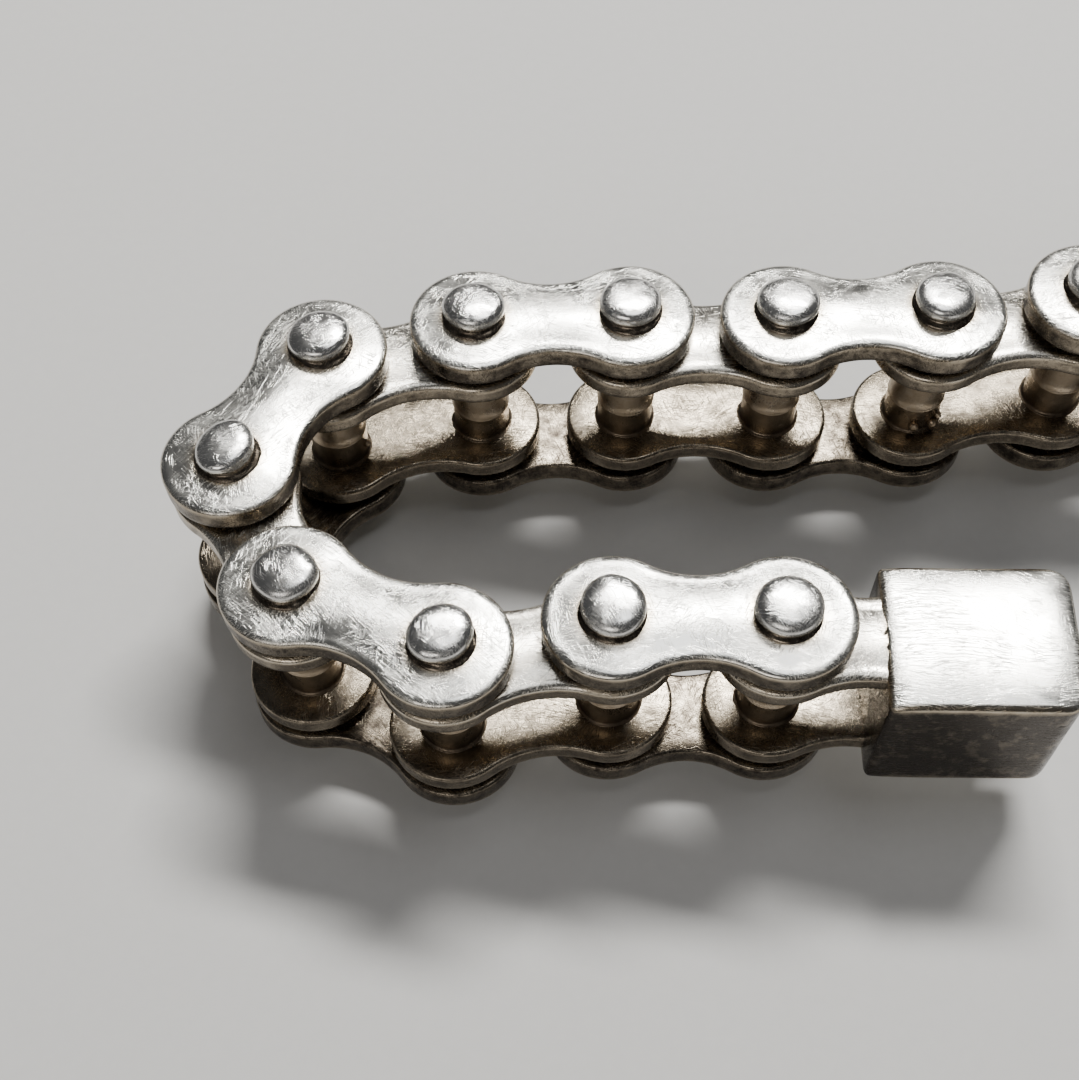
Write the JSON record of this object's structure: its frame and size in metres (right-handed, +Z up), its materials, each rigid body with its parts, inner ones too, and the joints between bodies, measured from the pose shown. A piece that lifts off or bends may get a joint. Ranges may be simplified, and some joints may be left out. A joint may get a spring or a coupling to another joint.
{
  "type": "drive chain bracelet",
  "caption": "Silver bracelet built as a heavy drive chain: figure-eight plates on domed pins and tube bushes, with a box clasp whose folded tongue snaps behind a lip.",
  "frame": {"origin": "middle of the bounding box at the height of the surface that the bracelet lies on", "axes": "+Z up along the pins; +X along the rows, from the bend towards the clasp; -Y is the row with the clasp box"},
  "size_m": [0.1172, 0.0603, 0.0206],
  "materials": {
    "plate_silver": "polished, finely scratched",
    "pin_silver": "polished domes, swirl worn",
    "bush_silver": "as drawn, lightly tarnished",
    "clasp_silver": "polished, finely scratched",
    "spring_silver": "satin sheet"
  },
  "bodies": {
    "clasp_box_link": {"clasp_box": "clasp_silver", "clasp_box_plate_top": "plate_silver", "clasp_box_plate_bottom": "plate_silver", "clasp_box_bush": "bush_silver"},
    "outer_1_link": {"outer_1_plate_top": "plate_silver", "outer_1_plate_bottom": "plate_silver", "outer_1_pins": "pin_silver"},
    "inner_1_link": {"inner_1_plate_top": "plate_silver", "inner_1_plate_bottom": "plate_silver", "inner_1_bushes": "bush_silver"},
    "outer_2_link": {"outer_2_plate_top": "plate_silver", "outer_2_plate_bottom": "plate_silver", "outer_2_pins": "pin_silver"},
    "inner_2_link": {"inner_2_plate_top": "plate_silver", "inner_2_plate_bottom": "plate_silver", "inner_2_bushes": "bush_silver"},
    "outer_3_link": {"outer_3_plate_top": "plate_silver", "outer_3_plate_bottom": "plate_silver", "outer_3_pins": "pin_silver"},
    "inner_3_link": {"inner_3_plate_top": "plate_silver", "inner_3_plate_bottom": "plate_silver", "inner_3_bushes": "bush_silver"},
    "outer_4_link": {"outer_4_plate_top": "plate_silver", "outer_4_plate_bottom": "plate_silver", "outer_4_pins": "pin_silver"},
    "inner_4_link": {"inner_4_plate_top": "plate_silver", "inner_4_plate_bottom": "plate_silver", "inner_4_bushes": "bush_silver"},
    "outer_5_link": {"outer_5_plate_top": "plate_silver", "outer_5_plate_bottom": "plate_silver", "outer_5_pins": "pin_silver"},
    "inner_5_link": {"inner_5_plate_top": "plate_silver", "inner_5_plate_bottom": "plate_silver", "inner_5_bushes": "bush_silver"},
    "outer_6_link": {"outer_6_plate_top": "plate_silver", "outer_6_plate_bottom": "plate_silver", "outer_6_pins": "pin_silver"},
    "inner_6_link": {"inner_6_plate_top": "plate_silver", "inner_6_plate_bottom": "plate_silver", "inner_6_bushes": "bush_silver"},
    "outer_7_link": {"outer_7_plate_top": "plate_silver", "outer_7_plate_bottom": "plate_silver", "outer_7_pins": "pin_silver"},
    "inner_7_link": {"inner_7_plate_top": "plate_silver", "inner_7_plate_bottom": "plate_silver", "inner_7_bushes": "bush_silver"},
    "outer_8_link": {"outer_8_plate_top": "plate_silver", "outer_8_plate_bottom": "plate_silver", "outer_8_pins": "pin_silver"},
    "tongue_link": {"tongue_block": "clasp_silver", "tongue_block_plate_top": "plate_silver", "tongue_block_plate_bottom": "plate_silver", "tongue_block_bush": "bush_silver", "tongue_base_leaf": "spring_silver"},
    "spring_leaf": {"tongue_spring_leaf": "spring_silver", "tongue_thumb_tab": "spring_silver"}
  },
  "joints": [
    {"name": "clasp_box_to_outer_1", "type": "hinge", "parent": "clasp_box_link", "child": "outer_1_link", "pos_m": [-0.01407, -0.003, 0.0103], "axis": [0, 0, -1], "range_deg": [-89.4, 60.6]},
    {"name": "outer_1_to_inner_1", "type": "hinge", "parent": "outer_1_link", "child": "inner_1_link", "pos_m": [-0.02606, -0.0025, 0.0103], "axis": [0, 0, 1], "range_deg": [-20.6, 79.4]},
    {"name": "inner_1_to_outer_2", "type": "hinge", "parent": "inner_1_link", "child": "outer_2_link", "pos_m": [-0.03793, -0.00421, 0.0103], "axis": [0, 0, -1], "range_deg": [-124.2, 20.8]},
    {"name": "outer_2_to_inner_2", "type": "hinge", "parent": "outer_2_link", "child": "inner_2_link", "pos_m": [-0.04872, 0.00105, 0.0103], "axis": [0, 0, 1], "range_deg": [-15.8, 130.2]},
    {"name": "inner_2_to_outer_3", "type": "hinge", "parent": "inner_2_link", "child": "outer_3_link", "pos_m": [-0.05356, 0.01203, 0.0103], "axis": [0, 0, -1], "range_deg": [-146.5, 8.5]},
    {"name": "outer_3_to_inner_3", "type": "hinge", "parent": "outer_3_link", "child": "inner_3_link", "pos_m": [-0.04708, 0.02212, 0.0103], "axis": [0, 0, 1], "range_deg": [-9.3, 135.7]},
    {"name": "inner_3_to_outer_4", "type": "hinge", "parent": "inner_3_link", "child": "outer_4_link", "pos_m": [-0.03532, 0.02454, 0.0103], "axis": [0, 0, -1], "range_deg": [-101.8, 18.2]},
    {"name": "outer_4_to_inner_4", "type": "hinge", "parent": "outer_4_link", "child": "inner_4_link", "pos_m": [-0.02332, 0.0245, 0.0103], "axis": [0, 0, 1], "range_deg": [-22.8, 92.2]},
    {"name": "inner_4_to_outer_5", "type": "hinge", "parent": "inner_4_link", "child": "outer_5_link", "pos_m": [-0.01133, 0.02399, 0.0103], "axis": [0, 0, -1], "range_deg": [-87.9, 37.1]},
    {"name": "outer_5_to_inner_5", "type": "hinge", "parent": "outer_5_link", "child": "inner_5_link", "pos_m": [0.00067, 0.02393, 0.0103], "axis": [0, 0, 1], "range_deg": [-55.9, 84.1]},
    {"name": "inner_5_to_outer_6", "type": "hinge", "parent": "inner_5_link", "child": "outer_6_link", "pos_m": [0.01261, 0.0251, 0.0103], "axis": [0, 0, -1], "range_deg": [-100.6, 59.4]},
    {"name": "outer_6_to_inner_6", "type": "hinge", "parent": "outer_6_link", "child": "inner_6_link", "pos_m": [0.02456, 0.02405, 0.0103], "axis": [0, 0, 1], "range_deg": [-59, 106]},
    {"name": "inner_6_to_outer_7", "type": "hinge", "parent": "inner_6_link", "child": "outer_7_link", "pos_m": [0.03577, 0.01976, 0.0103], "axis": [0, 0, -1], "range_deg": [-108, 52]},
    {"name": "outer_7_to_inner_7", "type": "hinge", "parent": "outer_7_link", "child": "inner_7_link", "pos_m": [0.04509, 0.0122, 0.0103], "axis": [0, 0, 1], "range_deg": [-55, 110]},
    {"name": "inner_7_to_outer_8", "type": "hinge", "parent": "inner_7_link", "child": "outer_8_link", "pos_m": [0.05127, 0.00192, 0.0103], "axis": [0, 0, -1], "range_deg": [-110, 70]},
    {"name": "outer_8_to_tongue", "type": "hinge", "parent": "outer_8_link", "child": "tongue_link", "pos_m": [0.05356, -0.00986, 0.0103], "axis": [0, 0, 1], "range_deg": [-72, 108]},
    {"name": "spring_leaf_squeeze", "type": "hinge", "parent": "tongue_link", "child": "spring_leaf", "pos_m": [0.0513, -0.02832, 0.01175], "axis": [0.9925, -0.1219, 0], "range_deg": [0, 13], "stiffness_Nm_per_rad": 0.05}
  ]
}
